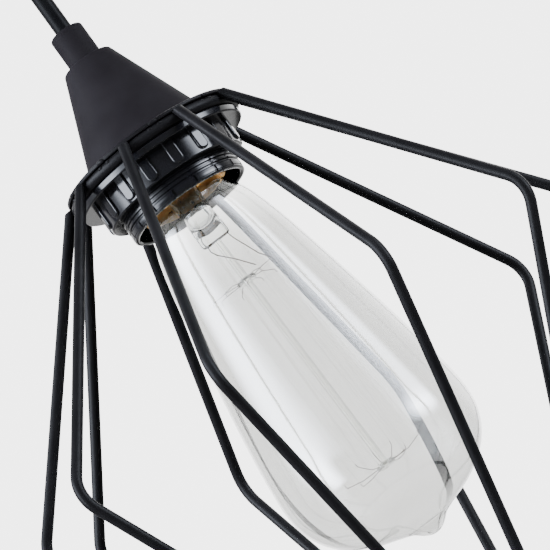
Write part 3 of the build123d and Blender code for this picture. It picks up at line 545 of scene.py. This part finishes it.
def rise(value, low, high):
    """0 below low, 1 above high, smooth between."""
    n = wt.nodes.new("ShaderNodeMapRange")
    n.interpolation_type = "SMOOTHSTEP"
    n.inputs["From Min"].default_value = low
    n.inputs["From Max"].default_value = high
    n.inputs["To Min"].default_value = 0.0
    n.inputs["To Max"].default_value = 1.0
    wt.links.new(value, n.inputs["Value"])
    return n.outputs["Result"]


direction = wt.nodes.new("ShaderNodeTexCoord").outputs["Generated"]
split = wt.nodes.new("ShaderNodeSeparateXYZ")
wt.links.new(direction, split.inputs[0])
dx, dy, dz = split.outputs
# Degrees about the lamp: 0 towards the camera, + to the camera's right; and above the horizon.
azimuth = math_node("MULTIPLY", math_node("ARCTAN2", dx, math_node("MULTIPLY", dy, -1.0)), 180 / math.pi)
height = math_node("MULTIPLY", math_node("ARCSINE", dz), 180 / math.pi)


def panel(az, el, soft, strength):
    """A light panel in the surroundings: az and el are its limits, soft the widths of its edges."""
    a = math_node("MULTIPLY", rise(azimuth, az[0] - soft[0], az[0] + soft[0]),
                  math_node("SUBTRACT", 1.0, rise(azimuth, az[1] - soft[1], az[1] + soft[1])))
    e = math_node("MULTIPLY", rise(height, el[0] - soft[2], el[0] + soft[2]),
                  math_node("SUBTRACT", 1.0, rise(height, el[1] - soft[3], el[1] + soft[3])))
    return math_node("MULTIPLY", math_node("MULTIPLY", a, e), strength)


FRONT, LOW_FRONT = 0.5, 0.9
behind = math_node("MULTIPLY", rise(dy, 0.05, 0.85), math_node("ADD", 0.12, math_node("MULTIPLY", rise(height, -14, 10), 0.88)))
# The wall is darker behind the left side.
left_wall = math_node("MULTIPLY", rise(azimuth, -172, -150), math_node("SUBTRACT", 1.0, rise(azimuth, -98, -84)))
behind = math_node("MULTIPLY", behind, math_node("SUBTRACT", 1.0, math_node("MULTIPLY", left_wall, 0.7)))
front = math_node("ADD", FRONT, math_node("MULTIPLY", math_node("SUBTRACT", 1.0, rise(height, -45.0, 0.0)), LOW_FRONT - FRONT))
total = math_node("ADD", math_node("MULTIPLY", behind, BRIGHT),
                  math_node("MULTIPLY", math_node("SUBTRACT", 1.0, behind), front))
# The big box on the left stands at a slant: its right edge leans towards the camera higher up.
slanted = math_node("SUBTRACT", azimuth, math_node("MULTIPLY", math_node("SUBTRACT", height, 12.0), 2.3))
left_box = math_node("MULTIPLY", rise(azimuth, -112, -92), math_node("SUBTRACT", 1.0, rise(slanted, -64, -40)))
left_box = math_node("MULTIPLY", left_box, math_node("MULTIPLY", rise(height, -14, 26),
                                                     math_node("SUBTRACT", 1.0, rise(height, 42, 62))))
# Its tube is brightest along one line that leans away higher up.
tube_line = math_node("ADD", azimuth, math_node("MULTIPLY", height, 0.85))
core = math_node("MULTIPLY", rise(tube_line, -84, -54), math_node("SUBTRACT", 1.0, rise(tube_line, -48, -4)))
core = math_node("MULTIPLY", core, math_node("MULTIPLY", rise(height, -22, -12), math_node("SUBTRACT", 1.0, rise(height, 38, 54))))
# Low down its right side is cut off.
core = math_node("MULTIPLY", core, math_node("SUBTRACT", 1.0, math_node("MULTIPLY", rise(azimuth, -58, -40),
                                                                       math_node("SUBTRACT", 1.0, rise(height, 6, 26)))))
right_box = math_node("ADD", math_node("MULTIPLY", rise(azimuth, 44, 54), 4.0), math_node("MULTIPLY", rise(azimuth, 52, 72), 22.0))
right_box = math_node("MULTIPLY", right_box, math_node("SUBTRACT", 1.0, rise(azimuth, 82, 93)))
right_box = math_node("MULTIPLY", right_box, math_node("MULTIPLY", rise(height, -2, 9),
                                                       math_node("SUBTRACT", 1.0, rise(height, 42, 62))))
cool = math_node("ADD", math_node("ADD", math_node("MULTIPLY", left_box, 3.0), math_node("MULTIPLY", core, math_node("SUBTRACT", 72.0, math_node("MULTIPLY", rise(height, 6, 24), 26.0)))),
                 math_node("ADD", right_box, panel((54, 84), (0, 13), (8, 10, 10, 8), 56.0)))
neutral = wt.nodes.new("ShaderNodeVectorMath")
neutral.operation = "SCALE"
neutral.inputs[0].default_value = (1.0, 1.0, 1.0)
wt.links.new(total, neutral.inputs["Scale"])
bluish = wt.nodes.new("ShaderNodeVectorMath")
bluish.operation = "SCALE"
bluish.inputs[0].default_value = (0.90, 0.97, 1.10)
wt.links.new(cool, bluish.inputs["Scale"])
studio = wt.nodes.new("ShaderNodeVectorMath")
studio.operation = "ADD"
wt.links.new(neutral.outputs[0], studio.inputs[0])
wt.links.new(bluish.outputs[0], studio.inputs[1])
# The plain backdrop is what the camera sees, and most of what shows through the glass.
path = wt.nodes.new("ShaderNodeLightPath")
plain = math_node("MAXIMUM", path.outputs["Is Camera Ray"],
                  math_node("MULTIPLY", path.outputs["Is Transmission Ray"], 0.55))
blend = wt.nodes.new("ShaderNodeMix")
blend.data_type = "RGBA"
wt.links.new(plain, blend.inputs[0])
wt.links.new(studio.outputs[0], blend.inputs[6])
blend.inputs[7].default_value = (BRIGHT, BRIGHT, BRIGHT, 1)
w_bg = wt.nodes.new("ShaderNodeBackground")
w_out = wt.nodes.new("ShaderNodeOutputWorld")
wt.links.new(blend.outputs[2], w_bg.inputs["Color"])
wt.links.new(w_bg.outputs["Background"], w_out.inputs["Surface"])

scene.view_settings.view_transform = "AgX"
scene.view_settings.look = "None"

bpy.context.view_layer.update()
low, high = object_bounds()
